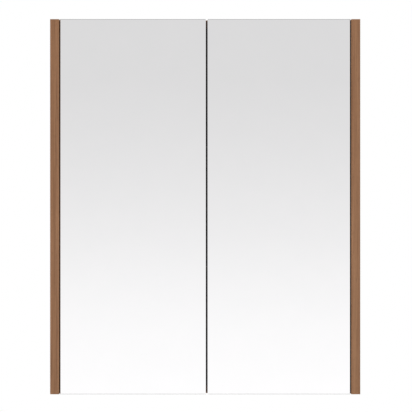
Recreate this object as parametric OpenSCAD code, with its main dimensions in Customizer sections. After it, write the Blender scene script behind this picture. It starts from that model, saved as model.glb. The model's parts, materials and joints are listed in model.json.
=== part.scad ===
// Hanging wall cabinet with two mirror doors set between veneered side panels.
// The origin lies on the wall, midway between the two hanging plates.
// +X runs to the right, +Y into the wall and +Z up. Sizes are in millimetres.

/* [Cabinet] */
// Overall width over the side panels
cabinet_w = 620; // [520:5:760]
// Overall height of the side panels
cabinet_h = 750; // [620:5:900]
// Overall depth from the wall to the mirror faces
cabinet_d = 150; // [140:5:190]
// Drop from the underside of the top panel to the line of the wall fixings
hang_drop = 46; // [44:1:50]

/* [Boards] */
// Thickness of the two side panels
side_t = 18; // [16:1:22]
// Thickness of the top and bottom panels
panel_t = 16; // [15:1:19]
// Thickness of the back panel
back_t = 3; // [2.5:0.5:5]
// Space behind the back panel for the hanging plates
hang_gap = 17; // [17:1:24]
// How far the back panel sits in its grooves
groove_d = 6; // [4:1:8]
// Thickness of the edge strips on the boards
strip_t = 1; // [0.4:0.2:2]
// How far the bottom panel stands above the side panel ends
base_rise = 0; // [0:1:36]
// Thickness of the lower back rail
rail_t = 15; // [12:1:16]
// Height of the lower back rail
rail_h = 60; // [40:5:90]

/* [Doors] */
// Gap between a door and its side panel
side_gap = 1.75; // [1.75:0.25:4]
// Gap between the two doors
middle_gap = 3.5; // [2:0.5:5]
// How far the gap between the doors stands to the right of the middle line
meet_offset = 3; // [-6:0.5:6]
// How far the door ends stop short of the side panel ends
door_end_gap = 0; // [0:0.5:3]
// Thickness of the mirror glass
mirror_t = 3; // [3:0.5:4]
// Width of the ground edge round the mirror
arris = 1; // [0.8:0.1:1.5]
// Thickness of the tape that holds the mirror
tape_t = 1; // [0.5:0.1:1.5]
// Width of one strip of mirror tape
tape_w = 25; // [12:1:40]
// How far the tape strips stay back from the door edges
tape_margin = 30; // [15:5:60]
// Thickness of the door board
door_board_t = 15; // [15:1:18]
// Gap between a closed door and the cabinet front edges
buffer_gap = 2; // [1.5:0.25:3]
// Diameter of a door buffer
buffer_dia = 9; // [6:1:12]
// Distance of the buffers from the middle line
buffer_x = 34; // [20:1:60]

/* [Shelves] */
// Thickness of the glass shelves
shelf_t = 5; // [4:1:8]
// How far the shelf front stays behind the panel fronts
shelf_setback = 8; // [4:1:20]
// Gap at the shelf ends and at the shelf back
shelf_gap = 1; // [0.5:0.5:3]
// Diameter of the shelf pins
pin_dia = 5; // [4:0.5:6]
// Depth of the shelf pin holes
pin_hole_depth = 10; // [8:1:12]
// Spacing of the shelf pin holes
pin_pitch = 32; // [25:1:40]
// Distance of the pin holes from the shelf's front and back edges
pin_edge = 22; // [14:1:30]

/* [Fittings] */
// Diameter of a cam lock
cam_dia = 15; // [12:1:15]
// How far a cam lock reaches past the middle of its board
cam_over = 4; // [3.5:0.5:4.5]
// Distance of the cam centre from the board end
cam_reach = 24; // [20:1:34]
// Distance of the cam locks from the board's front and back edges
cam_edge = 30; // [24:1:40]
// Diameter of the wooden dowels
dowel_dia = 8; // [6:1:8]
// Length of the wooden dowels
dowel_len = 30; // [24:1:36]

/* [Push latches] */
// Distance of the push latches from the middle line
latch_x = 70; // [50:5:140]
// Diameter of a push latch body
latch_dia = 10; // [9:0.5:11]
// Length of a push latch body
latch_len = 46; // [36:1:60]
// Diameter of a latch plunger
plunger_dia = 6; // [4:0.5:6.5]
// How far a latch plunger can be pressed in
plunger_travel = 2; // [1:0.5:4]
// Diameter of the steel discs that the plungers press on
strike_dia = 14; // [10:1:15]

/* [Hinges] */
// Distance from the door ends to the hinge middles
hinge_inset = 100; // [90:1:140]
// Diameter of the hinge cup
cup_dia = 35; // [35:0.5:36]
// Depth of the hinge cup in the door
cup_depth = 11.5; // [11.5:0.1:12]
// Distance from the door edge to the rim of the cup
cup_edge = 5; // [5:0.1:5.2]
// Distance between the two cup screws
lug_pitch = 48; // [45:1:52]
// Diameter of the cup screws
cup_screw_dia = 3.5; // [3:0.5:4]
// Length of the cup screws in the door board
cup_screw_len = 12; // [10:0.5:13]
// Distance between the two screws of a hinge plate
foot_pitch = 32; // [32:1:40]
// Diameter of the hinge plate screws
foot_screw_dia = 3.5; // [3:0.5:5]
// Length of the hinge plate screws in the side panel
foot_screw_len = 11; // [9:0.5:13]
// Diameter of the two screws that hold an arm on its plate
arm_screw_dia = 4; // [3:0.5:4.5]

/* [Hanging] */
// Gap between a wall plate and the side panel next to it
plate_inset = 3; // [1:0.5:3]
// Width of a wall plate
plate_w = 52; // [40:2:60]
// Thickness of the plate steel
plate_t = 2; // [1.5:0.5:3]
// Vertical distance between the two screw holes of a plate
plate_pitch = 28; // [24:1:32]
// Diameter of a wall screw hole
plate_hole_dia = 5.5; // [4.5:0.5:6.5]
// Width of a hanger body
hanger_w = 17; // [15:1:20]
// Height of a hanger body
hanger_h = 56; // [50:1:60]
// Depth of a hanger body
hanger_l = 40; // [34:1:50]

/* [Hidden] */
$fn = 48;

// Clearance round anything that is pushed or screwed into a hole
fit_gap = 0.05;
// Clearance of the back panel in its grooves
groove_gap = 0.1;

inner_x = cabinet_w / 2 - side_t;
z_top = hang_drop + panel_t;
z_bot = z_top - cabinet_h;
front = -cabinet_d;
door_t = mirror_t + tape_t + door_board_t;
panel_front = front + door_t + buffer_gap;
back_front = -hang_gap - back_t;
top_under = hang_drop;
base_z = z_bot + base_rise;
base_top = base_z + panel_t;

// Block between two opposite corners
module block(low, high) {
    translate(low) cube(high - low);
}

// Cylinder along X, from x to x + len
module bar_x(x, y, z, dia, len) {
    translate([x, y, z]) rotate([0, 90, 0]) cylinder(d = dia, h = len);
}

// Cylinder along Y, from y to y + len
module bar_y(x, y, z, dia, len) {
    translate([x, y, z]) rotate([-90, 0, 0]) cylinder(d = dia, h = len);
}

// Children are drawn for the right side, and mirrored for the left one
module on_side(side) {
    if (side > 0) children();
    else mirror([1, 0, 0]) children();
}

module both_sides() {
    for (side = [-1, 1]) on_side(side) children();
}

// ---- shelf positions
shelf_count = 2;
shelf_step = (top_under - base_top - shelf_count * shelf_t) / (shelf_count + 1);
function shelf_z(i) = base_top + shelf_step + i * (shelf_step + shelf_t);
shelf_front = panel_front + shelf_setback;
shelf_back = back_front - shelf_gap;
pad_t = 1.2;
seat_t = 1.6;
pin_z_drop = pad_t + seat_t;
function pin_z(i) = shelf_z(i) - pin_z_drop - pin_dia / 2;
pin_rows = [shelf_front + pin_edge, shelf_back - pin_edge];

// ---- cam fittings
cam_rows = [panel_front + cam_edge, -cam_edge];
cam_depth = panel_t / 2 + cam_over;
dowel_row = (cam_rows[0] + cam_rows[1]) / 2;
bolt_dia = 6;
bolt_in_side = 11;
bolt_hole_dia = 8;
neck_dia = 3.5;
neck_len = cam_dia / 2 + 0.5;
head_dia = 6.4;
head_t = 2.5;
cam_room = 0.6;
dowel_in_side = 11;

// Children are drawn once at the mid-plane of each end of the top and bottom panels,
// with +Z pointing out of the cabinet
module at_panel_ends() {
    both_sides() {
        translate([0, 0, z_top - panel_t / 2]) children();
        translate([0, 0, base_z + panel_t / 2]) mirror([0, 0, 1]) children();
    }
}

// ---- side panels
module side_panel_right() {
    color("#936c50") difference() {
        block([inner_x, front + strip_t, z_bot + strip_t],
              [cabinet_w / 2, 0, z_top - strip_t]);
        block([inner_x - 1, back_front - groove_gap, base_top - groove_d],
              [inner_x + groove_d, -hang_gap + groove_gap, top_under + groove_d]);
        for (y = pin_rows, i = [0 : shelf_count - 1], step = [-2 : 2])
            bar_x(inner_x - 1, y, pin_z(i) + step * pin_pitch, pin_dia, pin_hole_depth + 1);
        for (z = [z_top - panel_t / 2, base_z + panel_t / 2]) {
            for (y = cam_rows)
                bar_x(inner_x - 1, y, z, bolt_dia, bolt_in_side + 1.5);
            bar_x(inner_x - 1, dowel_row, z, dowel_dia, dowel_in_side + 2);
        }
        bar_x(inner_x - 1, rail_y, rail_mid_z, dowel_dia, dowel_in_side + 2);
        for (z = peg_rows)
            bar_x(inner_x - 1, hanger_y, z, peg_dia, peg_len + 1.5);
        at_hinges() for (z = [-1, 1])
            bar_x(-side_gap - foot_screw_len - 0.5, -foot_y, z * foot_pitch / 2,
                  foot_screw_dia, foot_screw_len + 2);
    }
}

// Strips on the front edge and on both ends of a side panel
module side_edging_right() {
    color("#9a7356") {
        block([inner_x, front, z_bot], [cabinet_w / 2, front + strip_t, z_top]);
        for (z = [z_bot, z_top - strip_t])
            block([inner_x, front + strip_t, z], [cabinet_w / 2, 0, z + strip_t]);
    }
}

// ---- top and bottom panels, drawn for the top and shared by the bottom
module panel_body(low_z) {
    difference() {
        block([-inner_x, panel_front + strip_t, low_z], [inner_x, 0, low_z + panel_t]);
        both_sides() for (y = cam_rows)
            bar_x(inner_x - cam_reach, y, low_z + panel_t / 2, bolt_hole_dia, cam_reach + 1);
        both_sides()
            bar_x(inner_x - dowel_len + dowel_in_side - 1, dowel_row, low_z + panel_t / 2,
                  dowel_dia, dowel_len);
    }
}

module cam_holes(face_z, into) {
    both_sides() for (y = cam_rows)
        translate([inner_x - cam_reach, y, face_z]) mirror([0, 0, into > 0 ? 0 : 1])
            translate([0, 0, -1]) cylinder(d = cam_dia + 2 * fit_gap, h = cam_depth + 1.5);
}

module top_panel() {
    color("#936c50") difference() {
        panel_body(top_under);
        cam_holes(z_top, -1);
        block([-inner_x - 1, back_front - groove_gap, top_under - 1],
              [inner_x + 1, -hang_gap + groove_gap, top_under + groove_d]);
    }
}

module bottom_panel() {
    color("#936c50") difference() {
        panel_body(base_z);
        cam_holes(base_z, 1);
        latch_bores();
        block([-inner_x - 1, back_front - groove_gap, base_top - groove_d],
              [inner_x + 1, -hang_gap + groove_gap, base_top + 1]);
    }
}

module panel_edging() {
    color("#9a7356") difference() {
        for (z = [base_z, top_under])
            block([-inner_x, panel_front, z], [inner_x, panel_front + strip_t, z + panel_t]);
        latch_bores();
    }
}

// ---- back
rail_y = -1 - rail_t / 2;
rail_mid_z = base_top + rail_h / 2;

module back_panel() {
    edge = groove_d - 0.5;
    color("#8a6549") difference() {
        block([-inner_x - edge, back_front, base_top - edge],
              [inner_x + edge, -hang_gap, top_under + edge]);
        both_sides() block([hook_x - hook_w / 2 - 2, back_front - 1, lip_top - hook_drop - 2],
                           [hook_x + hook_w / 2 + 2, -hang_gap + 1, lip_top + hook_t + 5]);
    }
}

module back_rail() {
    color("#936c50") difference() {
        block([-inner_x, rail_y - rail_t / 2, base_top], [inner_x, rail_y + rail_t / 2, base_top + rail_h]);
        both_sides()
            bar_x(inner_x - dowel_len + dowel_in_side - 1, rail_y, rail_mid_z, dowel_dia, dowel_len);
    }
}

// ---- fittings inside the boards
module cam_lock() {
    face = panel_t / 2 - 0.2;
    difference() {
        translate([0, 0, face - cam_depth]) cylinder(d = cam_dia, h = cam_depth);
        block([-head_t / 2 - cam_room, -cam_dia, -head_dia / 2 - cam_room],
              [head_t / 2 + cam_room, head_dia / 2 + cam_room, head_dia / 2 + cam_room]);
        block([0, -cam_dia, -neck_dia / 2 - cam_room],
              [cam_dia, neck_dia / 2 + cam_room, neck_dia / 2 + cam_room]);
        for (a = [0, 90]) rotate(a)
            block([-4, -0.7, face - 2.2], [4, 0.7, face + 1]);
    }
}

module cam_locks() {
    color("#c9c6bf") at_panel_ends() for (y = cam_rows)
        translate([inner_x - cam_reach, y, 0]) cam_lock();
}

module cam_bolts() {
    color("#b9b29f") at_panel_ends() for (y = cam_rows) {
        bar_x(inner_x, y, 0, bolt_dia - 2 * fit_gap, bolt_in_side);
        bar_x(inner_x - cam_reach + neck_len, y, 0, bolt_dia, cam_reach - neck_len);
        bar_x(inner_x - cam_reach, y, 0, neck_dia, neck_len);
        bar_x(inner_x - cam_reach - head_t / 2, y, 0, head_dia, head_t);
    }
}

module wood_dowels() {
    color("#d9bd8f") {
        at_panel_ends()
            bar_x(inner_x - dowel_len + dowel_in_side, dowel_row, 0, dowel_dia - 2 * fit_gap, dowel_len);
        both_sides()
            bar_x(inner_x - dowel_len + dowel_in_side, rail_y, rail_mid_z,
                  dowel_dia - 2 * fit_gap, dowel_len);
    }
}

// ---- shelves
module shelf(i) {
    color("#cfe3dd") block([-inner_x + shelf_gap, shelf_front, shelf_z(i)],
                          [inner_x - shelf_gap, shelf_back, shelf_z(i) + shelf_t]);
}

// Pin, collar and flat seat of one shelf support on the right side
module shelf_pin() {
    bar_x(inner_x - 1.2, 0, 0, pin_dia - 2 * fit_gap, pin_hole_depth);
    bar_x(inner_x - 1.2, 0, 0, pin_dia + 3, 1.2);
    block([inner_x - 13, -5, pin_dia / 2], [inner_x, 5, pin_dia / 2 + seat_t]);
    block([inner_x - 13, -0.8, -pin_dia / 2], [inner_x - 1, 0.8, pin_dia / 2]);
}

module at_shelf_pins() {
    both_sides() for (i = [0 : shelf_count - 1], y = pin_rows)
        translate([0, y, pin_z(i)]) children();
}

module shelf_pins() {
    color("#c8c8c6") at_shelf_pins() shelf_pin();
}

module shelf_pads() {
    color("#e8eceb") at_shelf_pins()
        translate([inner_x - 7.5, 0, pin_dia / 2 + seat_t]) cylinder(d = 8, h = pad_t);
}

// ---- doors, drawn on the right. The side is 1 for the right door and -1 for the left one.
function door_in(side) = middle_gap / 2 + side * meet_offset;
door_out = inner_x - side_gap;
door_low = z_bot + door_end_gap;
door_high = z_top - door_end_gap;
board_front = front + mirror_t + tape_t;
buffer_rest = 0.3;
door_back = front + door_t;

module door_mirror(side) {
    h = door_high - door_low;
    w = door_out - door_in(side);
    color("#dfe5e8") translate([door_in(side), front, door_low]) intersection() {
        linear_extrude(h) polygon([[0, arris], [arris, 0], [w - arris, 0], [w, arris],
                                   [w, mirror_t], [0, mirror_t]]);
        translate([w, 0, 0]) rotate([90, 0, -90]) linear_extrude(w)
            polygon([[-arris, 0], [-mirror_t, 0], [-mirror_t, h], [-arris, h],
                     [0, h - arris], [0, arris]]);
    }
}

module mirror_tape(side) {
    centres = [door_in(side) + tape_margin + tape_w / 2, (door_in(side) + door_out) / 2,
               door_out - tape_margin - tape_w / 2];
    color("#b8b8b4") for (x = centres)
        block([x - tape_w / 2, front + mirror_t, door_low + tape_margin],
              [x + tape_w / 2, board_front, door_high - tape_margin]);
}

module door_board(side) {
    color("#8d674c") difference() {
        block([door_in(side) + strip_t, board_front, door_low + strip_t],
              [door_out - strip_t, door_back, door_high - strip_t]);
        at_hinges() {
            bar_y(cup_x, -1, 0, cup_dia + 2 * fit_gap, cup_depth + 1.1);
            for (z = [-1, 1])
                bar_y(lug_x, -1, z * lug_pitch / 2, cup_screw_dia, cup_screw_len + 1.5);
        }
    }
}

// Strip round all four edges of a door board
module door_edging(side) {
    color("#9a7356") difference() {
        block([door_in(side), board_front, door_low], [door_out, door_back, door_high]);
        block([door_in(side) + strip_t, board_front - 1, door_low + strip_t],
              [door_out - strip_t, door_back + 1, door_high - strip_t]);
    }
}

module door_buffers() {
    color("#eef2f2") both_sides() for (z = [z_top - panel_t / 2, base_z + panel_t / 2])
        translate([buffer_x, panel_front, z]) rotate([90, 0, 0])
            cylinder(d1 = buffer_dia, d2 = buffer_dia - 2, h = buffer_gap - buffer_rest);
}

// ---- push latches in the front edge of the bottom panel. Local Z points into the panel.
latch_flange_t = 0.6;
latch_room = 0.2;
plunger_len = 18;
strike_t = 0.6;
plunger_tip = buffer_gap - strike_t - buffer_rest;

module at_latch() {
    translate([latch_x, panel_front, base_z + panel_t / 2]) rotate([-90, 0, 0]) children();
}

module latch_bores() {
    both_sides() at_latch()
        translate([0, 0, -1]) cylinder(d = latch_dia + 2 * fit_gap, h = latch_len + 1.5);
}

module push_latches() {
    flange_dia = latch_dia + 3;
    bore_dia = plunger_dia + 2 * latch_room;
    color("#d9d9d4") both_sides() at_latch() difference() {
        union() {
            translate([0, 0, -latch_flange_t]) cylinder(d = latch_dia, h = latch_flange_t + latch_len);
            translate([0, 0, -latch_flange_t]) cylinder(d = flange_dia, h = latch_flange_t);
        }
        translate([0, 0, -latch_flange_t - 1])
            cylinder(d = bore_dia, h = latch_flange_t + 1 + plunger_len + plunger_travel + latch_room);
    }
}

module latch_plunger() {
    color("#8f9296") at_latch()
        translate([0, 0, -plunger_tip]) cylinder(d = plunger_dia, h = plunger_tip + plunger_len);
}

module latch_strike() {
    color("#c2c5c8")
        bar_y(latch_x, door_back, base_z + panel_t / 2, strike_dia, strike_t);
}

// ---- hanging fittings
plate_x = inner_x - plate_inset - plate_w / 2;
lip_rise = 14;
lip_stand = 6;
plate_foot = 10;
lip_low = plate_pitch / 2 + 8;
lip_top = lip_low + lip_rise;
hook_w = 10;
hook_t = 2.6;
hook_drop = 11;
hook_rest = 0.1;
hook_x = inner_x - hanger_w / 2;
hanger_wall = 1.6;
hanger_top = top_under - 3;
hanger_front = back_front - hanger_l;
hanger_y = back_front - hanger_l / 2;
hanger_mid_z = hanger_top - hanger_h / 2;
peg_dia = 10;
peg_len = 10;
peg_rows = [hanger_mid_z - 16, hanger_mid_z + 16];
adjust_rows = [lip_top - 34, lip_top - 16];
adjust_dia = 6;
cover_wall = 1.2;
cover_gap = 0.2;
cover_room = 3;

// Steel plate on the wall, with an upturned lip that carries the hook
module wall_plate_right() {
    x = plate_x;
    color("#c4c7ca") difference() {
        union() {
            block([x - plate_w / 2, -plate_t, -plate_pitch / 2 - plate_foot],
                  [x + plate_w / 2, 0, lip_low + plate_t]);
            block([x - plate_w / 2, -lip_stand - plate_t, lip_low],
                  [x + plate_w / 2, 0, lip_low + plate_t]);
            block([x - plate_w / 2, -lip_stand - plate_t, lip_low],
                  [x + plate_w / 2, -lip_stand, lip_top]);
        }
        for (z = [-1, 1]) bar_y(x, -plate_t - 1, z * plate_pitch / 2, plate_hole_dia, plate_t + 2);
    }
}

module hanger_body_right() {
    low = hanger_top - hanger_h;
    color("#e4e4e0") {
        difference() {
            block([inner_x - hanger_w, hanger_front, low], [inner_x, back_front, hanger_top]);
            block([inner_x - hanger_w + hanger_wall, hanger_front + hanger_wall, low + hanger_wall],
                  [inner_x - hanger_wall, back_front + 1, hanger_top - hanger_wall]);
            for (z = adjust_rows)
                bar_y(hook_x, hanger_front - 1, z, adjust_dia + 0.2, hanger_wall + 2);
        }
        for (z = peg_rows) bar_x(inner_x - 0.5, hanger_y, z, peg_dia - 2 * fit_gap, peg_len + 0.5);
    }
}

// Steel hook: upright lever in the body, arm through the back panel and a finger behind the lip
module hanger_hook_right() {
    arm_z = lip_top + hook_rest;
    lever_y = hanger_front + 12;
    finger_y = -3;
    color("#b4b8bb") difference() {
        translate([hook_x - hook_w / 2, 0, 0]) rotate([90, 0, 90]) linear_extrude(hook_w)
            polygon([[lever_y, adjust_rows[0] - 8], [lever_y, arm_z + hook_t],
                     [finger_y, arm_z + hook_t], [finger_y, arm_z - hook_drop],
                     [finger_y - hook_t, arm_z - hook_drop], [finger_y - hook_t, arm_z],
                     [lever_y + hook_t, arm_z], [lever_y + hook_t, adjust_rows[0] - 8]]);
        for (z = adjust_rows) bar_y(hook_x, lever_y - 1, z, adjust_dia, hook_t + 2);
    }
}

module hanger_screws() {
    color("#d0d2d4") both_sides() for (z = adjust_rows) difference() {
        union() {
            bar_y(hook_x, hanger_front - 0.5, z, adjust_dia - 2 * fit_gap, 26);
            bar_y(hook_x, hanger_front - 2, z, adjust_dia + 3, 2);
        }
        for (a = [0, 90]) translate([hook_x, hanger_front - 2.2, z]) rotate([0, a, 0])
            block([-2.6, 0, -0.6], [2.6, 1.6, 0.6]);
    }
}

// Snap-on cover with two holes for the screwdriver
module hanger_cover_right() {
    reach = cover_gap + cover_wall;
    low = hanger_top - hanger_h;
    color("#f0f0ec") difference() {
        block([inner_x - hanger_w - reach, hanger_front - cover_room - cover_wall, low - reach],
              [inner_x, back_front, hanger_top + reach]);
        block([inner_x - hanger_w - cover_gap, hanger_front - cover_room, low - cover_gap],
              [inner_x + 1, back_front + 1, hanger_top + cover_gap]);
        for (z = adjust_rows)
            bar_y(hook_x, hanger_front - cover_room - cover_wall - 1, z, adjust_dia + 1, cover_wall + 2);
    }
}

// ---- hinges. Local frame: the origin is the back corner of the door's hinge edge at the hinge's
// middle height, X runs towards the door's free edge, Y points out of the cabinet and Z is up.
hinge_rows = [z_bot + hinge_inset, z_top - hinge_inset];
cup_x = cup_edge + cup_dia / 2;
cup_wall = 1.1;
flange_t = 1.2;
lug_x = cup_x + 6;
side_face = -side_gap;
// Pivots of the two links on the arm and in the cup, and the bends between them
arm_pivot_in = [39.5, -6.32];
cup_pivot_in = [12.93, 6.58];
bend_in = [24.33, 8.13];
arm_pivot_out = [38.26, -17];
cup_pivot_out = [9.74, 1.5];
bend_out = [13.99, 5.59];
arm_bend = [18.19, -26];
link_pin_r = 1.2;
in_link_r = 1.9;
in_link_z = 3;
nose_r = 2.6;
nose_z = [3.2, 5];
out_link_r = 1.9;
out_link_z = [5.2, 6.4];
// Slot at the arm end of the outer link, along the line between its pivots
out_axis = (cup_pivot_out - arm_pivot_out) / norm(cup_pivot_out - arm_pivot_out);
slot_from = arm_pivot_out - 0.19 * [-out_axis[1], out_axis[0]];
slot_to = slot_from + 2.9 * out_axis;
slot_r = 2.2;
spine_top = side_face + 8;
arm_top = spine_top + 2;
arm_end = -72;
foot_y = 38;
foot_t = 2.5;
arm_screw_rows = [-46, -62];

module at_hinges() {
    for (z = hinge_rows) translate([door_out, door_back, z]) rotate(180) children();
}

// Outline of a bar of half width r along a list of points, with round ends
function left_of(v) = [-v[1], v[0]] / norm(v);
function corner_step(points, i, r) =
    let (before = left_of(points[max(i, 1)] - points[max(i, 1) - 1]),
         last = len(points) - 2,
         after = left_of(points[min(i, last) + 1] - points[min(i, last)]))
    r * (before + after) / (1 + before * after);
function end_arc(at, way, r) =
    let (a = atan2(way[1], way[0])) [for (t = [75 : -15 : -75]) at + r * [cos(a + t), sin(a + t)]];
function bar_outline(points, r) =
    let (n = len(points) - 1)
    concat([for (i = [0 : n]) points[i] + corner_step(points, i, r)],
           end_arc(points[n], points[n] - points[n - 1], r),
           [for (i = [n : -1 : 0]) points[i] - corner_step(points, i, r)],
           end_arc(points[0], points[0] - points[1], r));

module strap(points, r, low, high) {
    translate([0, 0, low]) linear_extrude(high - low) polygon(bar_outline(points, r));
}

module pin(at, r, low, high) {
    translate([at[0], at[1], low]) cylinder(r = r, h = high - low);
}

// Children are drawn above the hinge's middle height and mirrored below it
module both_cheeks() {
    children();
    mirror([0, 0, 1]) children();
}

module hinge_cup() {
    difference() {
        union() {
            difference() {
                union() {
                    bar_y(cup_x, -0.2, 0, cup_dia, cup_depth + 0.2);
                    bar_y(cup_x, -flange_t, 0, cup_dia + 3, flange_t);
                    block([lug_x - 5, -flange_t, -lug_pitch / 2], [lug_x + 5, 0, lug_pitch / 2]);
                    for (z = [-1, 1]) bar_y(lug_x, -flange_t, z * lug_pitch / 2, 10, flange_t);
                }
                bar_y(cup_x, -flange_t - 1, 0, cup_dia - 2 * cup_wall, cup_depth - cup_wall + flange_t + 1);
            }
            intersection() {
                both_cheeks() {
                    strap([cup_pivot_in, [cup_x - cup_dia / 2, cup_pivot_in[1]]], 2.2, nose_z[0], nose_z[1]);
                    strap([cup_pivot_out, [cup_x - cup_dia / 2, cup_pivot_out[1]]], 2, 8, 11);
                }
                bar_y(cup_x, 0, 0, cup_dia, cup_depth);
            }
        }
        for (z = [-1, 1])
            bar_y(lug_x, -flange_t - 1, z * lug_pitch / 2, cup_screw_dia + 2 * fit_gap, flange_t + 2);
        pin(cup_pivot_in, link_pin_r + fit_gap, -nose_z[1] - 1, nose_z[1] + 1);
        both_cheeks() pin(cup_pivot_out, link_pin_r + fit_gap, 7, 10.4);
    }
}

module hinge_cups_right() {
    color("#c4c6c8") at_hinges() hinge_cup();
}

module hinge_cup_pins_right() {
    color("#9a9c9e") at_hinges() {
        pin(cup_pivot_in, link_pin_r, -nose_z[1], nose_z[1]);
        both_cheeks() pin(cup_pivot_out, link_pin_r, nose_z[1] + 0.1, 10.35);
    }
}

// Screw along X with its head at x and its tip at x - len
module screw_x(x, y, z, dia, len, head_dia, head_t) {
    difference() {
        union() {
            bar_x(x - len, y, z, dia, len);
            bar_x(x - head_t, y, z, head_dia, head_t);
        }
        for (a = [0, 90]) translate([x, y, z]) rotate([a, 0, 0])
            block([-head_t * 0.6, -head_dia * 0.3, -0.45], [1, head_dia * 0.3, 0.45]);
    }
}

module hinge_cup_screws_right() {
    head_t = 1.3;
    color("#c2c4c6") at_hinges() for (z = [-1, 1])
        translate([lug_x, -flange_t - head_t, z * lug_pitch / 2]) rotate(-90)
            screw_x(0, 0, 0, cup_screw_dia - 2 * fit_gap, cup_screw_len + flange_t, 6.6, head_t);
}

module hinge_inner_links_right() {
    color("#bfc1c3") at_hinges() difference() {
        strap([arm_pivot_in, bend_in, cup_pivot_in], in_link_r, -in_link_z, in_link_z);
        for (at = [arm_pivot_in, cup_pivot_in])
            pin(at, link_pin_r + fit_gap, -in_link_z - 1, in_link_z + 1);
    }
}

// Two plates, one on each side of the arm
module hinge_outer_links_right() {
    low = out_link_z[0];
    high = out_link_z[1];
    color("#b2b4b6") at_hinges() both_cheeks() difference() {
        union() {
            strap([slot_from, slot_to], slot_r + 0.9, low, high);
            strap([slot_to, bend_out, cup_pivot_out], out_link_r, low, high);
        }
        strap([slot_from, slot_to], slot_r, low - 1, high + 1);
        pin(cup_pivot_out, link_pin_r + fit_gap, low - 1, high + 1);
    }
}

// Cranked arm: a forked nose that carries the links and a channel that sits on the plate
module hinge_arm() {
    toe = arm_pivot_in + 5.3 * (arm_pivot_out - arm_pivot_in) / norm(arm_pivot_out - arm_pivot_in);
    web_r = nose_r - 0.2;
    web_z = nose_z[1] - 0.2;
    heel = [spine_top + 0.6 + web_r, -36];
    difference() {
        union() {
            both_cheeks() strap([arm_pivot_in, arm_pivot_out], nose_r, nose_z[0], nose_z[1]);
            strap([toe, arm_pivot_out, arm_bend, heel], web_r, -web_z, web_z);
            difference() {
                block([side_face + foot_t + 0.6, arm_end, -7.6], [arm_top, -34, 7.6]);
                block([side_face, arm_end - 1, -6.1], [spine_top + 0.1, -33, 6.1]);
            }
        }
        pin(arm_pivot_in, link_pin_r + fit_gap, -nose_z[1] - 1, nose_z[1] + 1);
        pin(arm_pivot_out, link_pin_r + fit_gap, -nose_z[1] - 1, nose_z[1] + 1);
        for (y = arm_screw_rows) {
            bar_x(spine_top - 1, y, 0, arm_screw_dia + 0.2, 4);
            bar_x(arm_top - 1.3, y, 0, arm_screw_dia + 4, 2);
        }
    }
}

module hinge_arm_pins() {
    color("#9a9c9e") both_sides() at_hinges() {
        pin(arm_pivot_in, link_pin_r, -nose_z[1], nose_z[1]);
        pin(arm_pivot_out, link_pin_r, -out_link_z[1] - 0.2, out_link_z[1] + 0.2);
        both_cheeks() pin(arm_pivot_out, slot_r + 0.6, out_link_z[1] + 0.15, out_link_z[1] + 0.8);
    }
}

module hinge_arm_screws() {
    color("#d0d2d4") both_sides() at_hinges() for (y = arm_screw_rows)
        screw_x(arm_top - 0.1, y, 0, arm_screw_dia - 2 * fit_gap, 8, arm_screw_dia + 3.6, 1.15);
}

// Plate screwed to the side panel, with a raised spine for the arm
module hinge_plate() {
    difference() {
        union() {
            block([side_face, -foot_y - 8, -foot_pitch / 2 - 6],
                  [side_face + foot_t, -foot_y + 8, foot_pitch / 2 + 6]);
            block([side_face, arm_end + 2, -6], [spine_top, -31, 6]);
        }
        for (z = [-1, 1])
            bar_x(side_face - 1, -foot_y, z * foot_pitch / 2, foot_screw_dia + 0.2, foot_t + 2);
        for (y = arm_screw_rows) bar_x(side_face + 1, y, 0, arm_screw_dia, 8);
    }
}

module hinge_plate_screws() {
    color("#c2c4c6") both_sides() at_hinges() for (z = [-1, 1])
        screw_x(side_face + foot_t + 1.8, -foot_y, z * foot_pitch / 2,
                foot_screw_dia - 2 * fit_gap, foot_screw_len + foot_t + 1.8, 7, 1.8);
}

// Clip-on cover over the arm channel
module hinge_cover() {
    front_y = -40;
    color("#c9cbcd") difference() {
        block([side_face + 5, arm_end - 1.3, -8.8], [arm_top + 1.3, front_y, 8.8]);
        block([side_face, arm_end - 0.1, -7.7], [arm_top + 0.1, front_y + 1, 7.7]);
    }
}

mirror([1, 0, 0]) side_panel_right();  // side_panel_left
side_panel_right();
mirror([1, 0, 0]) side_edging_right();  // side_edging_left
side_edging_right();
top_panel();
bottom_panel();
panel_edging();
back_panel();
back_rail();
cam_locks();
cam_bolts();
wood_dowels();
push_latches();
on_side(-1) latch_plunger();  // latch_plunger_left
on_side(1) latch_plunger();  // latch_plunger_right
on_side(-1) latch_strike();  // latch_strike_left
on_side(1) latch_strike();  // latch_strike_right
shelf(1);  // shelf_upper
shelf(0);  // shelf_lower
shelf_pins();
shelf_pads();
door_buffers();
on_side(-1) door_mirror(-1);  // mirror_left
on_side(1) door_mirror(1);  // mirror_right
on_side(-1) mirror_tape(-1);  // mirror_tape_left
on_side(1) mirror_tape(1);  // mirror_tape_right
on_side(-1) door_board(-1);  // door_board_left
on_side(1) door_board(1);  // door_board_right
on_side(-1) door_edging(-1);  // door_edging_left
on_side(1) door_edging(1);  // door_edging_right
mirror([1, 0, 0]) hinge_cups_right();  // hinge_cups_left
hinge_cups_right();
mirror([1, 0, 0]) hinge_cup_pins_right();  // hinge_cup_pins_left
hinge_cup_pins_right();
mirror([1, 0, 0]) hinge_cup_screws_right();  // hinge_cup_screws_left
hinge_cup_screws_right();
mirror([1, 0, 0]) hinge_inner_links_right();  // hinge_inner_links_left
hinge_inner_links_right();
mirror([1, 0, 0]) hinge_outer_links_right();  // hinge_outer_links_left
hinge_outer_links_right();
color("#c4c6c8") both_sides() at_hinges() hinge_arm();  // hinge_arms
hinge_arm_pins();
hinge_arm_screws();
color("#bcbec0") both_sides() at_hinges() hinge_plate();  // hinge_plates
hinge_plate_screws();
both_sides() at_hinges() hinge_cover();  // hinge_covers
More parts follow.
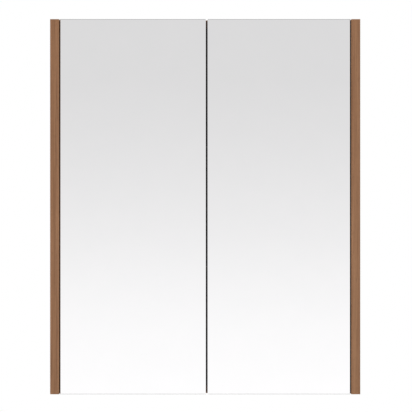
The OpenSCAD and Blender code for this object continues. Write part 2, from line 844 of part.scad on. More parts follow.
mirror([1, 0, 0]) hanger_body_right();  // hanger_body_left
hanger_body_right();
mirror([1, 0, 0]) hanger_hook_right();  // hanger_hook_left
hanger_hook_right();
mirror([1, 0, 0]) hanger_cover_right();  // hanger_cover_left
hanger_cover_right();
hanger_screws();
mirror([1, 0, 0]) wall_plate_right();  // wall_plate_left
wall_plate_right();
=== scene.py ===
import json
import math
import bmesh
import bpy
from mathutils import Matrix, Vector


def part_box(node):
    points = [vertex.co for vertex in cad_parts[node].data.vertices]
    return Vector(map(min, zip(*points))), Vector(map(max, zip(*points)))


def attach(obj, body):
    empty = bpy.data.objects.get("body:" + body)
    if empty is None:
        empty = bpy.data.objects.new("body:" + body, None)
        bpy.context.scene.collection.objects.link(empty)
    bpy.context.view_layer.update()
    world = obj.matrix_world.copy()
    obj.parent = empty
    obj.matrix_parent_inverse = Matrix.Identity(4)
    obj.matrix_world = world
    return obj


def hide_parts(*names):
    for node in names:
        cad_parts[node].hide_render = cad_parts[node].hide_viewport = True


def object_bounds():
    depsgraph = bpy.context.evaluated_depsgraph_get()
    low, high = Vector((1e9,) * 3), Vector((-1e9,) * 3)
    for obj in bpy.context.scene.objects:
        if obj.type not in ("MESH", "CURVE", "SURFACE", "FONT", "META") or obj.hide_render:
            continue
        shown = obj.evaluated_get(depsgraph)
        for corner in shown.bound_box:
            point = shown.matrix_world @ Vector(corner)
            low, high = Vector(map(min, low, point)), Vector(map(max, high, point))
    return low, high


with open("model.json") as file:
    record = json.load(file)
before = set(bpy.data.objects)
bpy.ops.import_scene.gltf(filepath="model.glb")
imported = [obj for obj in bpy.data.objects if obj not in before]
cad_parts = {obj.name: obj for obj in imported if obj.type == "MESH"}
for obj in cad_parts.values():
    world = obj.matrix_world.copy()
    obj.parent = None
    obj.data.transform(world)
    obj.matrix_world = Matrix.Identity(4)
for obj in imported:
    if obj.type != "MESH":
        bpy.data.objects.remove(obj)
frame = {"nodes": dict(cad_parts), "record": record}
cadLow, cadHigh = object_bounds()
nodes = frame["nodes"]
bodies = frame["record"]["behaviour"]["bodies"]
bodyOf = {node: body for body, members in bodies.items() for node in members}
print("frame loaded:", len(nodes), "CAD nodes")


def newMaterial(name):
    # a material with only a Principled BSDF and its output
    material = bpy.data.materials.new(name)
    material.use_nodes = True
    tree = material.node_tree
    tree.nodes.clear()
    shader = tree.nodes.new("ShaderNodeBsdfPrincipled")
    shader.location = (300, 0)
    output = tree.nodes.new("ShaderNodeOutputMaterial")
    output.location = (620, 0)
    tree.links.new(shader.outputs["BSDF"], output.inputs["Surface"])
    return material, tree, shader


def newGroup(name, inputs, outputs):
    # a node group with named sockets: inputs are (name, type, default), outputs (name, type)
    group = bpy.data.node_groups.new(name, "ShaderNodeTree")
    for label, kind, default in inputs:
        socket = group.interface.new_socket(label, in_out="INPUT", socket_type="NodeSocket" + kind)
        if default is not None:
            socket.default_value = default
    for label, kind in outputs:
        group.interface.new_socket(label, in_out="OUTPUT", socket_type="NodeSocket" + kind)
    return group, group.nodes.new("NodeGroupInput"), group.nodes.new("NodeGroupOutput")


def placeGroup(tree, group, **values):
    node = tree.nodes.new("ShaderNodeGroup")
    node.node_tree = group
    for label, value in values.items():
        node.inputs[label.replace("_", " ")].default_value = value
    return node


def mathNode(tree, operation, first, second=None):
    node = tree.nodes.new("ShaderNodeMath")
    node.operation = operation
    for socket, value in zip(node.inputs, (first, second)):
        if isinstance(value, (int, float)):
            socket.default_value = value
        elif value is not None:
            tree.links.new(value, socket)
    return node.outputs[0]


def rangeNode(tree, value, fromLow, fromHigh, toLow, toHigh):
    node = tree.nodes.new("ShaderNodeMapRange")
    tree.links.new(value, node.inputs["Value"])
    limits = (("From Min", fromLow), ("From Max", fromHigh), ("To Min", toLow), ("To Max", toHigh))
    for label, number in limits:
        node.inputs[label].default_value = number
    return node.outputs["Result"]


def stretched(tree, vector, scale):
    node = tree.nodes.new("ShaderNodeVectorMath")
    node.operation = "MULTIPLY"
    tree.links.new(vector, node.inputs[0])
    node.inputs[1].default_value = scale
    return node.outputs[0]


def noiseNode(tree, vector, scale, detail=2.0, roughness=0.5):
    node = tree.nodes.new("ShaderNodeTexNoise")
    tree.links.new(vector, node.inputs["Vector"])
    for label, number in (("Scale", scale), ("Detail", detail), ("Roughness", roughness)):
        node.inputs[label].default_value = number
    return node.outputs["Fac"]


def mixColours(tree, factor, first, second):
    node = tree.nodes.new("ShaderNodeMix")
    node.data_type = "RGBA"
    for index, value in ((0, factor), (6, first), (7, second)):
        if isinstance(value, (int, float, tuple)):
            node.inputs[index].default_value = value
        else:
            tree.links.new(value, node.inputs[index])
    return node.outputs[2]


def objectPoint(tree, turn=(0.0, 0.0, 0.0)):
    # object coordinates in metres, turned so that the grain or brushing runs along local Z
    coordinates = tree.nodes.new("ShaderNodeTexCoord")
    mapping = tree.nodes.new("ShaderNodeMapping")
    mapping.inputs["Rotation"].default_value = turn
    tree.links.new(coordinates.outputs["Object"], mapping.inputs["Vector"])
    return mapping.outputs["Vector"]


def bumpNode(tree, height, distance, strength=1.0):
    node = tree.nodes.new("ShaderNodeBump")
    node.inputs["Distance"].default_value = distance
    node.inputs["Strength"].default_value = strength
    tree.links.new(height, node.inputs["Height"])
    return node.outputs["Normal"]


# stretch of each layer across and along the fibre, in cycles per metre
grainLayers = {"drift": (6.0, 6.0, 1.1), "figure": (9.0, 9.0, 2.6), "bands": (95.0, 95.0, 1.6),
               "streaks": (620.0, 620.0, 7.0), "hairs": (1900.0, 1900.0, 26.0),
               "pores": (1500.0, 1500.0, 90.0),
               "sway": 0.006, "figureDepth": 0.14, "hairStrength": 0.28, "hairRelief": 0.4}


def makeGrainGroup(layers):
    # straight walnut grain along Z: broad tone bands, fine streaks and short dark pores
    group, inside, outside = newGroup(
        "walnutGrain",
        [("Vector", "Vector", None), ("Pale", "Color", (0.4, 0.24, 0.14, 1)),
         ("Mid", "Color", (0.3, 0.16, 0.09, 1)), ("Dark", "Color", (0.17, 0.085, 0.045, 1)),
         ("Streaks", "Float", 0.6), ("Pores", "Float", 0.5)],
        [("Colour", "Color"), ("Height", "Float"), ("Roughness", "Float")])
    point = inside.outputs["Vector"]
    drift = noiseNode(group, stretched(group, point, layers["drift"]), 1.0, 2.0)
    sway = group.nodes.new("ShaderNodeCombineXYZ")
    group.links.new(rangeNode(group, drift, 0.0, 1.0, -layers["sway"], layers["sway"]), sway.inputs["X"])
    group.links.new(rangeNode(group, drift, 0.0, 1.0, -layers["sway"], layers["sway"]), sway.inputs["Y"])
    swayed = group.nodes.new("ShaderNodeVectorMath")
    group.links.new(point, swayed.inputs[0])
    group.links.new(sway.outputs[0], swayed.inputs[1])
    fibre = swayed.outputs[0]
    bands = noiseNode(group, stretched(group, fibre, layers["bands"]), 1.0, 3.0, 0.55)
    streaks = noiseNode(group, stretched(group, fibre, layers["streaks"]), 1.0, 3.0, 0.6)
    hairs = noiseNode(group, stretched(group, fibre, layers["hairs"]), 1.0, 2.0, 0.5)
    pores = noiseNode(group, stretched(group, fibre, layers["pores"]), 1.0, 1.0, 0.4)
    poreMask = rangeNode(group, pores, 0.63, 0.74, 0.0, 1.0)
    figure = noiseNode(group, stretched(group, fibre, layers["figure"]), 1.0, 2.0)
    shift = rangeNode(group, figure, 0.3, 0.7, -layers["figureDepth"], layers["figureDepth"])
    spread = rangeNode(group, mathNode(group, "ADD", bands, shift), 0.33, 0.67, 0.0, 1.0)
    toned = mixColours(group, spread, inside.outputs["Mid"], inside.outputs["Pale"])
    streakPlaces = rangeNode(group, streaks, 0.47, 0.72, 0.0, 1.0)
    streakMask = mathNode(group, "MULTIPLY", streakPlaces, inside.outputs["Streaks"])
    toned = mixColours(group, streakMask, toned, inside.outputs["Dark"])
    hairMask = rangeNode(group, hairs, 0.35, 0.7, 0.0, layers["hairStrength"])
    toned = mixColours(group, hairMask, toned, inside.outputs["Pale"])
    darkPores = mathNode(group, "MULTIPLY", poreMask, inside.outputs["Pores"])
    toned = mixColours(group, darkPores, toned, inside.outputs["Dark"])
    group.links.new(toned, outside.inputs["Colour"])
    relief = mathNode(group, "SUBTRACT", mathNode(group, "MULTIPLY", hairs, layers["hairRelief"]), poreMask)
    group.links.new(relief, outside.inputs["Height"])
    group.links.new(rangeNode(group, streaks, 0.3, 0.7, 0.38, 0.5), outside.inputs["Roughness"])
    return group


def makeBrushGroup():
    # plated sheet metal: faint brushing along Z and cloudy plating
    group, inside, outside = newGroup(
        "platedMetal",
        [("Vector", "Vector", None), ("Tone", "Color", (0.7, 0.7, 0.7, 1)),
         ("Cloud", "Color", (0.6, 0.6, 0.6, 1)),
         ("Smooth", "Float", 0.18), ("Rough", "Float", 0.34)],
        [("Colour", "Color"), ("Height", "Float"), ("Roughness", "Float")])
    point = inside.outputs["Vector"]
    clouds = noiseNode(group, point, 160.0, 3.0, 0.6)
    lines = noiseNode(group, stretched(group, point, (3200.0, 3200.0, 110.0)), 1.0, 2.0, 0.5)
    group.links.new(mixColours(group, rangeNode(group, clouds, 0.35, 0.65, 0.0, 1.0), inside.outputs["Tone"],
                               inside.outputs["Cloud"]), outside.inputs["Colour"])
    cloudShare = mathNode(group, "MULTIPLY", clouds, 0.6)
    mixed = mathNode(group, "ADD", cloudShare, mathNode(group, "MULTIPLY", lines, 0.4))
    spread = mathNode(group, "SUBTRACT", inside.outputs["Rough"], inside.outputs["Smooth"])
    rough = mathNode(group, "ADD", inside.outputs["Smooth"], mathNode(group, "MULTIPLY", mixed, spread))
    group.links.new(rough, outside.inputs["Roughness"])
    group.links.new(lines, outside.inputs["Height"])
    return group


def makeSkinGroup():
    # moulded plastic and rubber: fine spark-eroded skin with faint tone change
    group, inside, outside = newGroup(
        "mouldedSkin",
        [("Vector", "Vector", None), ("Tone", "Color", (0.8, 0.8, 0.8, 1)),
         ("Shade", "Color", (0.7, 0.7, 0.7, 1)),
         ("Grain", "Float", 2600.0)],
        [("Colour", "Color"), ("Height", "Float"), ("Roughness", "Float")])
    fine = group.nodes.new("ShaderNodeTexNoise")
    group.links.new(inside.outputs["Vector"], fine.inputs["Vector"])
    group.links.new(inside.outputs["Grain"], fine.inputs["Scale"])
    fine.inputs["Detail"].default_value = 3.0
    broad = noiseNode(group, inside.outputs["Vector"], 70.0, 2.0)
    group.links.new(mixColours(group, rangeNode(group, broad, 0.35, 0.65, 0.0, 1.0), inside.outputs["Tone"],
                               inside.outputs["Shade"]), outside.inputs["Colour"])
    group.links.new(fine.outputs["Fac"], outside.inputs["Height"])
    group.links.new(rangeNode(group, fine.outputs["Fac"], 0.3, 0.7, 0.36, 0.52), outside.inputs["Roughness"])
    return group


grainGroup = makeGrainGroup(grainLayers)
brushGroup = makeBrushGroup()
skinGroup = makeSkinGroup()


gloss = {"woodSpecular": 0.35, "plasticIndex": 1.46, "glassIndex": 1.52, "edgeCoat": 0.4}
uprightTurn = (0.0, 0.0, 0.0)
acrossTurn = (0.0, math.pi / 2, 0.0)   # turns X onto Z for boards whose grain runs from side to side


def makeWood(name, look, turn):
    material, tree, shader = newMaterial(name)
    grain = placeGroup(tree, grainGroup, Pale=look["pale"], Mid=look["mid"], Dark=look["dark"],
                       Streaks=look["streaks"], Pores=look["pores"])
    tree.links.new(objectPoint(tree, turn), grain.inputs["Vector"])
    tree.links.new(grain.outputs["Colour"], shader.inputs["Base Color"])
    tree.links.new(grain.outputs["Roughness"], shader.inputs["Roughness"])
    tree.links.new(bumpNode(tree, grain.outputs["Height"], look["relief"]), shader.inputs["Normal"])
    shader.inputs["Specular IOR Level"].default_value = gloss["woodSpecular"]
    return material


def makePlated(name, look):
    material, tree, shader = newMaterial(name)
    metal = placeGroup(tree, brushGroup, Tone=look["tone"], Cloud=look["cloud"],
                       Smooth=look["smooth"], Rough=look["rough"])
    tree.links.new(objectPoint(tree), metal.inputs["Vector"])
    tree.links.new(metal.outputs["Colour"], shader.inputs["Base Color"])
    tree.links.new(metal.outputs["Roughness"], shader.inputs["Roughness"])
    tree.links.new(bumpNode(tree, metal.outputs["Height"], look["relief"], 0.5), shader.inputs["Normal"])
    shader.inputs["Metallic"].default_value = 1.0
    return material


def makeMoulded(name, look):
    material, tree, shader = newMaterial(name)
    skin = placeGroup(tree, skinGroup, Tone=look["tone"], Shade=look["shade"], Grain=look["grain"])
    tree.links.new(objectPoint(tree), skin.inputs["Vector"])
    tree.links.new(skin.outputs["Colour"], shader.inputs["Base Color"])
    tree.links.new(skin.outputs["Roughness"], shader.inputs["Roughness"])
    tree.links.new(bumpNode(tree, skin.outputs["Height"], look["relief"], 0.6), shader.inputs["Normal"])
    shader.inputs["Transmission Weight"].default_value = look["clear"]
    shader.inputs["IOR"].default_value = gloss["plasticIndex"]
    return material


def makeSilver(name, look):
    # silvered float glass seen from the front: a near perfect reflection with a trace of dust
    material, tree, shader = newMaterial(name)
    point = objectPoint(tree)
    film = noiseNode(tree, point, 22.0, 4.0, 0.6)
    specks = noiseNode(tree, point, 1400.0, 1.0)
    tree.links.new(mixColours(tree, rangeNode(tree, film, 0.3, 0.7, 0.0, 1.0), look["tone"], look["film"]),
                   shader.inputs["Base Color"])
    filmHaze = rangeNode(tree, film, 0.4, 0.75, 0.004, 0.012)
    speckHaze = rangeNode(tree, specks, 0.72, 0.8, 0.0, 0.02)
    tree.links.new(mathNode(tree, "ADD", filmHaze, speckHaze), shader.inputs["Roughness"])
    shader.inputs["Metallic"].default_value = 1.0
    return material


def makeGlassEdge(name, look):
    # ground and polished edge of float glass, with its green depth
    material, tree, shader = newMaterial(name)
    point = objectPoint(tree)
    streaks = noiseNode(tree, stretched(tree, point, (400.0, 400.0, 400.0)), 1.0, 2.0)
    tree.links.new(mixColours(tree, rangeNode(tree, streaks, 0.3, 0.7, 0.0, 1.0), look["tone"], look["deep"]),
                   shader.inputs["Base Color"])
    tree.links.new(rangeNode(tree, streaks, 0.3, 0.7, 0.12, 0.26), shader.inputs["Roughness"])
    shader.inputs["Metallic"].default_value = look["metallic"]
    shader.inputs["Transmission Weight"].default_value = look["clear"]
    shader.inputs["Coat Weight"].default_value = gloss["edgeCoat"]
    return material


def makeClearGlass(name, look):
    material, tree, shader = newMaterial(name)
    point = objectPoint(tree)
    smears = noiseNode(tree, point, 30.0, 3.0, 0.6)
    tree.links.new(mixColours(tree, rangeNode(tree, smears, 0.35, 0.7, 0.0, 1.0), look["tone"], look["tint"]),
                   shader.inputs["Base Color"])
    tree.links.new(rangeNode(tree, smears, 0.4, 0.75, 0.0, 0.03), shader.inputs["Roughness"])
    shader.inputs["Transmission Weight"].default_value = 1.0
    shader.inputs["IOR"].default_value = gloss["glassIndex"]
    return material


walnutLook = {"pale": (0.352, 0.180, 0.092, 1), "mid": (0.255, 0.120, 0.056, 1),
              "dark": (0.124, 0.054, 0.024, 1),
              "streaks": 0.62, "pores": 0.5, "relief": 0.00006}
edgeLook = {"pale": (0.362, 0.186, 0.095, 1), "mid": (0.260, 0.123, 0.058, 1),
            "dark": (0.130, 0.058, 0.026, 1),
            "streaks": 0.7, "pores": 0.45, "relief": 0.00005}
beechLook = {"pale": (0.72, 0.53, 0.33, 1), "mid": (0.62, 0.43, 0.25, 1), "dark": (0.42, 0.26, 0.14, 1),
             "streaks": 0.3, "pores": 0.25, "relief": 0.00004}
nickelLook = {"tone": (0.66, 0.655, 0.63, 1), "cloud": (0.58, 0.57, 0.55, 1),
              "smooth": 0.16, "rough": 0.3, "relief": 0.000006}
zincLook = {"tone": (0.60, 0.61, 0.63, 1), "cloud": (0.50, 0.51, 0.53, 1),
            "smooth": 0.24, "rough": 0.44, "relief": 0.00001}
pinLook = {"tone": (0.52, 0.52, 0.52, 1), "cloud": (0.42, 0.42, 0.42, 1),
           "smooth": 0.14, "rough": 0.26, "relief": 0.000004}
castLook = {"tone": (0.46, 0.45, 0.43, 1), "cloud": (0.36, 0.35, 0.33, 1),
            "smooth": 0.4, "rough": 0.6, "relief": 0.00003}
plasticLook = {"tone": (0.80, 0.80, 0.77, 1), "shade": (0.75, 0.75, 0.72, 1), "grain": 2600.0,
               "relief": 0.00002, "clear": 0.0}
clearLook = {"tone": (0.93, 0.95, 0.95, 1), "shade": (0.88, 0.91, 0.91, 1), "grain": 1400.0,
             "relief": 0.00001, "clear": 0.7}
foamLook = {"tone": (0.52, 0.52, 0.50, 1), "shade": (0.42, 0.42, 0.41, 1), "grain": 900.0,
            "relief": 0.00012, "clear": 0.0}
backingLook = {"tone": (0.22, 0.23, 0.24, 1), "shade": (0.18, 0.19, 0.20, 1), "grain": 1800.0,
               "relief": 0.00001, "clear": 0.0}
silverLook = {"tone": (0.955, 0.955, 0.958, 1), "film": (0.945, 0.947, 0.950, 1)}
arrisLook = {"tone": (0.93, 0.945, 0.95, 1), "deep": (0.88, 0.905, 0.91, 1), "metallic": 0.92, "clear": 0.0}
glassSideLook = {"tone": (0.46, 0.62, 0.56, 1), "deep": (0.30, 0.47, 0.41, 1), "metallic": 0.0,
                 "clear": 0.0}
shelfEdgeLook = {"tone": (0.42, 0.70, 0.60, 1), "deep": (0.26, 0.52, 0.43, 1), "metallic": 0.0,
                 "clear": 0.45}
shelfGlassLook = {"tone": (0.90, 0.97, 0.945, 1), "tint": (0.87, 0.955, 0.925, 1)}

veneerUpright = makeWood("walnutVeneerUpright", walnutLook, uprightTurn)
veneerAcross = makeWood("walnutVeneerAcross", walnutLook, acrossTurn)
stripUpright = makeWood("walnutStripUpright", edgeLook, uprightTurn)
stripAcross = makeWood("walnutStripAcross", edgeLook, acrossTurn)
bareBeech = makeWood("bareBeech", beechLook, acrossTurn)
nickelPlate = makePlated("nickelPlate", nickelLook)
zincPlate = makePlated("zincPlate", zincLook)
pinSteel = makePlated("pinSteel", pinLook)
zincCasting = makePlated("zincCasting", castLook)
whitePlastic = makeMoulded("whitePlastic", plasticLook)
clearRubber = makeMoulded("clearRubber", clearLook)
foamTape = makeMoulded("foamTape", foamLook)
mirrorBacking = makeMoulded("mirrorBacking", backingLook)
mirrorSilver = makeSilver("mirrorSilver", silverLook)
mirrorArris = makeGlassEdge("mirrorArris", arrisLook)
mirrorSide = makeGlassEdge("mirrorSide", glassSideLook)
shelfGlass = makeClearGlass("shelfGlass", shelfGlassLook)
shelfEdge = makeGlassEdge("shelfEdge", shelfEdgeLook)
print("materials made:", len(bpy.data.materials))


def placePiece(piece, node):
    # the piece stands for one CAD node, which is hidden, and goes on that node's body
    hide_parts(node)
    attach(piece, bodyOf[node])


def newPiece(name, mesh, materials):
    piece = bpy.data.objects.new(name, mesh)
    bpy.context.scene.collection.objects.link(piece)
    mesh.materials.clear()
    for material in materials:
        mesh.materials.append(material)
    return piece


edgeShape = {"steps": 2, "sharpAngle": math.radians(35), "flatAngle": math.radians(1.0), "weld": 0.000002}


def softEdges(node, radius, material, look):
    # a copy of a CAD node with its sharp edges rounded off, as a machined or pressed edge is
    mesh = nodes[node].data.copy()
    mesh.name = node + "_finished"
    shape = bmesh.new()
    shape.from_mesh(mesh)
    bmesh.ops.remove_doubles(shape, verts=shape.verts, dist=look["weld"])
    bmesh.ops.dissolve_limit(shape, angle_limit=look["flatAngle"], verts=shape.verts, edges=shape.edges)
    for face in shape.faces:
        face.smooth = True
        face.material_index = 0
    shape.to_mesh(mesh)
    shape.free()
    mesh.set_sharp_from_angle(angle=look["sharpAngle"])
    piece = newPiece(node + "_finished", mesh, [material])
    bevel = piece.modifiers.new("edge", "BEVEL")
    bevel.width = radius
    bevel.segments = look["steps"]
    bevel.limit_method = "ANGLE"
    bevel.angle_limit = look["sharpAngle"]
    bevel.harden_normals = True
    placePiece(piece, node)


def mirrorPane(node, look):
    # float glass with ground front edges: silver on the face, green glass at the sides, paint behind
    low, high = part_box(node)
    shape = bmesh.new()
    arris, back = look["arris"], look["backEdge"]
    # y and inset of each ring, from the back to the face
    rings = [(high.y, back), (high.y - back, 0.0), (low.y + arris, 0.0), (low.y, arris)]
    loops = []
    for y, inset in rings:
        corners = [(low.x + inset, low.z + inset), (high.x - inset, low.z + inset),
                   (high.x - inset, high.z - inset), (low.x + inset, high.z - inset)]
        loops.append([shape.verts.new((x, y, z)) for x, z in corners])
    bandMaterial = [1, 2, 1]   # ground, side, ground
    for step, index in enumerate(bandMaterial):
        for corner in range(4):
            following = (corner + 1) % 4
            face = shape.faces.new((loops[step][corner], loops[step][following],
                                    loops[step + 1][following], loops[step + 1][corner]))
            face.material_index = index
    shape.faces.new(loops[-1]).material_index = 0
    shape.faces.new(list(reversed(loops[0]))).material_index = 3
    bmesh.ops.recalc_face_normals(shape, faces=shape.faces)
    mesh = bpy.data.meshes.new(node + "_pane")
    shape.to_mesh(mesh)
    shape.free()
    piece = newPiece(node + "_pane", mesh, [mirrorSilver, mirrorArris, mirrorSide, mirrorBacking])
    placePiece(piece, node)


mirrorShape = {"arris": 0.001, "backEdge": 0.0003}
for side in ("left", "right"):
    mirrorPane("mirror_" + side, mirrorShape)
print("mirrors made")


def glassShelf(node, look):
    # float glass with polished rounded edges all round, green where it is seen edge on
    low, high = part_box(node)
    shape = bmesh.new()
    half = (high.z - low.z) / 2
    centre = (high.z + low.z) / 2
    loops = []
    for step in range(look["edgeSteps"] + 1):
        angle = -math.pi / 2 + math.pi * step / look["edgeSteps"]
        inset = look["edgeRound"] * (1 - math.cos(angle))
        z = centre + half * math.sin(angle)
        x0, x1, y0, y1 = low.x + inset, high.x - inset, low.y + inset, high.y - inset
        corners = ((x0, y0, z), (x1, y0, z), (x1, y1, z), (x0, y1, z))
        loops.append([shape.verts.new(corner) for corner in corners])
    for lower, upper in zip(loops, loops[1:]):
        for corner in range(4):
            following = (corner + 1) % 4
            face = shape.faces.new((lower[corner], lower[following], upper[following], upper[corner]))
            face.material_index = 1
            face.smooth = True
    shape.faces.new(loops[-1])
    shape.faces.new(list(reversed(loops[0])))
    bmesh.ops.recalc_face_normals(shape, faces=shape.faces)
    mesh = bpy.data.meshes.new(node + "_pane")
    shape.to_mesh(mesh)
    shape.free()
    placePiece(newPiece(node + "_pane", mesh, [shelfGlass, shelfEdge]), node)


shelfShape = {"edgeRound": 0.0016, "edgeSteps": 6}
for level in ("upper", "lower"):
    glassShelf("shelf_" + level, shelfShape)
print("shelves made")

# every other CAD node: its material and the radius of its edges in metres
finishes = {
    "side_panel": (veneerUpright, 0.0003), "side_edging": (stripUpright, 0.0005),
    "top_panel": (veneerAcross, 0.0003), "bottom_panel": (veneerAcross, 0.0003),
    "panel_edging": (stripAcross, 0.0004),
    "back_panel": (veneerUpright, 0.0002), "back_rail": (veneerAcross, 0.0005),
    "door_board": (veneerUpright, 0.0002), "door_edging": (stripUpright, 0.0005),
    "cam_locks": (zincCasting, 0.0003), "cam_bolts": (zincPlate, 0.0002),
    "wood_dowels": (bareBeech, 0.0006),
    "shelf_pins": (nickelPlate, 0.0003), "shelf_pads": (clearRubber, 0.0003),
    "door_buffers": (clearRubber, 0.0004),
    "mirror_tape": (foamTape, 0.0002),
    "hinge_cups": (nickelPlate, 0.0003), "hinge_cup_pins": (pinSteel, 0.0001),
    "hinge_cup_screws": (zincPlate, 0.0002),
    "hinge_inner_links": (nickelPlate, 0.0003), "hinge_outer_links": (nickelPlate, 0.0002),
    "hinge_arms": (nickelPlate, 0.0003), "hinge_arm_pins": (pinSteel, 0.0001),
    "hinge_arm_screws": (zincPlate, 0.0002),
    "hinge_plates": (nickelPlate, 0.0004), "hinge_plate_screws": (zincPlate, 0.0002),
    "hinge_covers": (nickelPlate, 0.0004),
    "hanger_body": (whitePlastic, 0.0006), "hanger_hook": (zincPlate, 0.0004),
    "hanger_cover": (whitePlastic, 0.0006),
    "hanger_screws": (zincPlate, 0.0003), "wall_plate": (zincPlate, 0.0004),
    "push_latches": (whitePlastic, 0.0003), "latch_plunger": (zincPlate, 0.0005),
    "latch_strike": (zincPlate, 0.0002),
}


def finishOf(node):
    if node in finishes:
        return finishes[node]
    return finishes[node.rsplit("_", 1)[0]]


# nodes whose panes are made above
paneMaterials = {"mirror_left": mirrorSilver, "mirror_right": mirrorSilver,
                 "shelf_upper": shelfGlass, "shelf_lower": shelfGlass}
for node in sorted(nodes):
    material = paneMaterials.get(node)
    if material is None:
        material, radius = finishOf(node)
        softEdges(node, radius, material, edgeShape)
    nodes[node].data.materials.clear()
    nodes[node].data.materials.append(material)
print("finished pieces made:", len(nodes))


middle = (cadLow + cadHigh) / 2
cameraLook = {"distance": 3.0, "frameHeight": 0.8235, "right": 0.0016, "up": 0.0014, "sensor": 36.0}


def makeCamera(look):
    data = bpy.data.cameras.new("camera")
    data.sensor_width = look["sensor"]
    data.lens = look["sensor"] * look["distance"] / look["frameHeight"]
    camera = bpy.data.objects.new("camera", data)
    camera.location = (middle.x + look["right"], cadLow.y - look["distance"], middle.z + look["up"])
    camera.rotation_euler = (math.pi / 2, 0, 0)
    bpy.context.scene.collection.objects.link(camera)
    bpy.context.scene.camera = camera


makeCamera(cameraLook)

floorLook = {"below": 0.62, "radius": 3.4, "fadeFrom": 1.9, "tone": (0.80, 0.80, 0.80, 1),
             "fadeTo": 0.97, "roughness": 0.9, "sides": 96}


def makeFloor(look):
    # a pale round floor that fades out into the white surroundings
    mesh = bpy.data.meshes.new("studioFloor")
    shape = bmesh.new()
    bmesh.ops.create_circle(shape, cap_ends=True, radius=look["radius"], segments=look["sides"])
    for face in shape.faces:
        face.normal_update()
        if face.normal.z < 0:
            face.normal_flip()
    shape.to_mesh(mesh)
    shape.free()
    floor = bpy.data.objects.new("studioFloor", mesh)
    floor.location = (middle.x, middle.y, cadLow.z - look["below"])
    bpy.context.scene.collection.objects.link(floor)
    material, tree, shader = newMaterial("paleFloor")
    shader.inputs["Base Color"].default_value = look["tone"]
    shader.inputs["Roughness"].default_value = look["roughness"]
    point = objectPoint(tree)
    reach = tree.nodes.new("ShaderNodeVectorMath")
    reach.operation = "LENGTH"
    tree.links.new(point, reach.inputs[0])
    fadeEnd = look["radius"] * look["fadeTo"]
    shown = rangeNode(tree, reach.outputs["Value"], look["fadeFrom"], fadeEnd, 1.0, 0.0)
    facing = tree.nodes.new("ShaderNodeNewGeometry")
    # clear when seen from underneath
    fromAbove = mathNode(tree, "SUBTRACT", 1.0, facing.outputs["Backfacing"])
    tree.links.new(mathNode(tree, "MULTIPLY", shown, fromAbove), shader.inputs["Alpha"])
    mesh.materials.append(material)


makeFloor(floorLook)

# tone of the surroundings by height: grey above the horizon and white below it, as the mirrors show
worldLook = {"tones": [(-0.120, 1.0), (-0.083, 0.966), (-0.050, 0.913), (-0.017, 0.850),
                       (0.017, 0.797), (0.050, 0.752), (0.083, 0.718), (0.120, 0.708)],
             "toneUntil": 0.35, "whiteFrom": 0.8, "steep": 0.9, "tint": (1.003, 0.996, 1.0),
             "ceiling": 0.5, "ground": 0.85, "diffuse": 0.62}


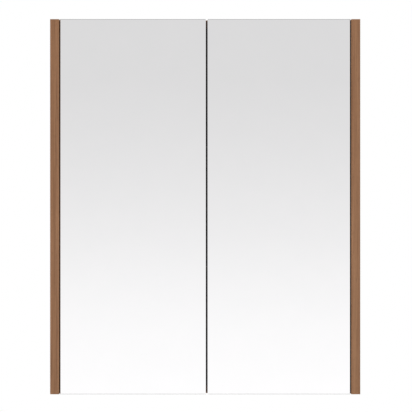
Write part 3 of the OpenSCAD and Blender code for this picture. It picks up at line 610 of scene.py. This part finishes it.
def makeWorld(look):
    # white to the camera; reflections and light come from the toned surroundings
    world = bpy.data.worlds.new("studioWorld")
    bpy.context.scene.world = world
    world.use_nodes = True
    tree = world.node_tree
    tree.nodes.clear()
    output = tree.nodes.new("ShaderNodeOutputWorld")
    coordinates = tree.nodes.new("ShaderNodeTexCoord")
    split = tree.nodes.new("ShaderNodeSeparateXYZ")
    tree.links.new(coordinates.outputs["Generated"], split.inputs[0])
    height = split.outputs["Z"]
    tones = look["tones"]
    low, high = tones[0][0], tones[-1][0]
    ramp = tree.nodes.new("ShaderNodeValToRGB")
    tree.links.new(rangeNode(tree, height, low, high, 0.0, 1.0), ramp.inputs["Fac"])
    elements = ramp.color_ramp.elements
    while len(elements) < len(tones):
        elements.new(0.5)
    for index, (place, tone) in enumerate(tones):
        elements[index].position = (place - low) / (high - low)
        level = tone / silverLook["tone"][0]
        elements[index].color = tuple(level * share for share in look["tint"]) + (1,)
    aside = mathNode(tree, "ABSOLUTE", split.outputs["X"])
    toSide = rangeNode(tree, aside, look["toneUntil"], look["whiteFrom"], 0.0, 1.0)
    surroundings = mixColours(tree, toSide, ramp.outputs["Color"], (1, 1, 1, 1))
    above = rangeNode(tree, height, high, look["steep"], 1.0, look["ceiling"])
    below = rangeNode(tree, height, -look["steep"], low, look["ground"], 1.0)
    level = mathNode(tree, "MULTIPLY", above, below)
    seen = tree.nodes.new("ShaderNodeLightPath")
    softer = mathNode(tree, "MULTIPLY", level, look["diffuse"])
    byRay = tree.nodes.new("ShaderNodeMix")
    tree.links.new(seen.outputs["Is Diffuse Ray"], byRay.inputs[0])
    tree.links.new(level, byRay.inputs[2])
    tree.links.new(softer, byRay.inputs[3])
    around = tree.nodes.new("ShaderNodeBackground")
    tree.links.new(surroundings, around.inputs["Color"])
    tree.links.new(byRay.outputs[0], around.inputs["Strength"])
    backdrop = tree.nodes.new("ShaderNodeBackground")
    backdrop.inputs["Color"].default_value = (1, 1, 1, 1)
    chosen = tree.nodes.new("ShaderNodeMixShader")
    tree.links.new(seen.outputs["Is Camera Ray"], chosen.inputs[0])
    tree.links.new(around.outputs[0], chosen.inputs[1])
    tree.links.new(backdrop.outputs[0], chosen.inputs[2])
    tree.links.new(chosen.outputs[0], output.inputs["Surface"])


makeWorld(worldLook)

lampLooks = {
    "keySoftbox": {"place": (-1.6, -2.4, 1.3), "size": 1.6, "power": 34.0},
    "fillSoftbox": {"place": (1.9, -1.9, 0.5), "size": 1.8, "power": 16.0},
    "backSoftbox": {"place": (0.4, 2.3, 1.6), "size": 1.8, "power": 26.0},
}


def makeLamps(looks):
    for name, look in looks.items():
        data = bpy.data.lights.new(name, "AREA")
        data.shape = "SQUARE"
        data.size = look["size"]
        data.energy = look["power"]
        lamp = bpy.data.objects.new(name, data)
        lamp.location = middle + Vector(look["place"])
        lamp.rotation_euler = (middle - lamp.location).to_track_quat("-Z", "Y").to_euler()
        lamp.visible_glossy = False
        lamp.visible_camera = False
        bpy.context.scene.collection.objects.link(lamp)


makeLamps(lampLooks)
bpy.context.scene.view_settings.view_transform = "Standard"
bpy.context.scene.view_settings.look = "None"
print("studio made")
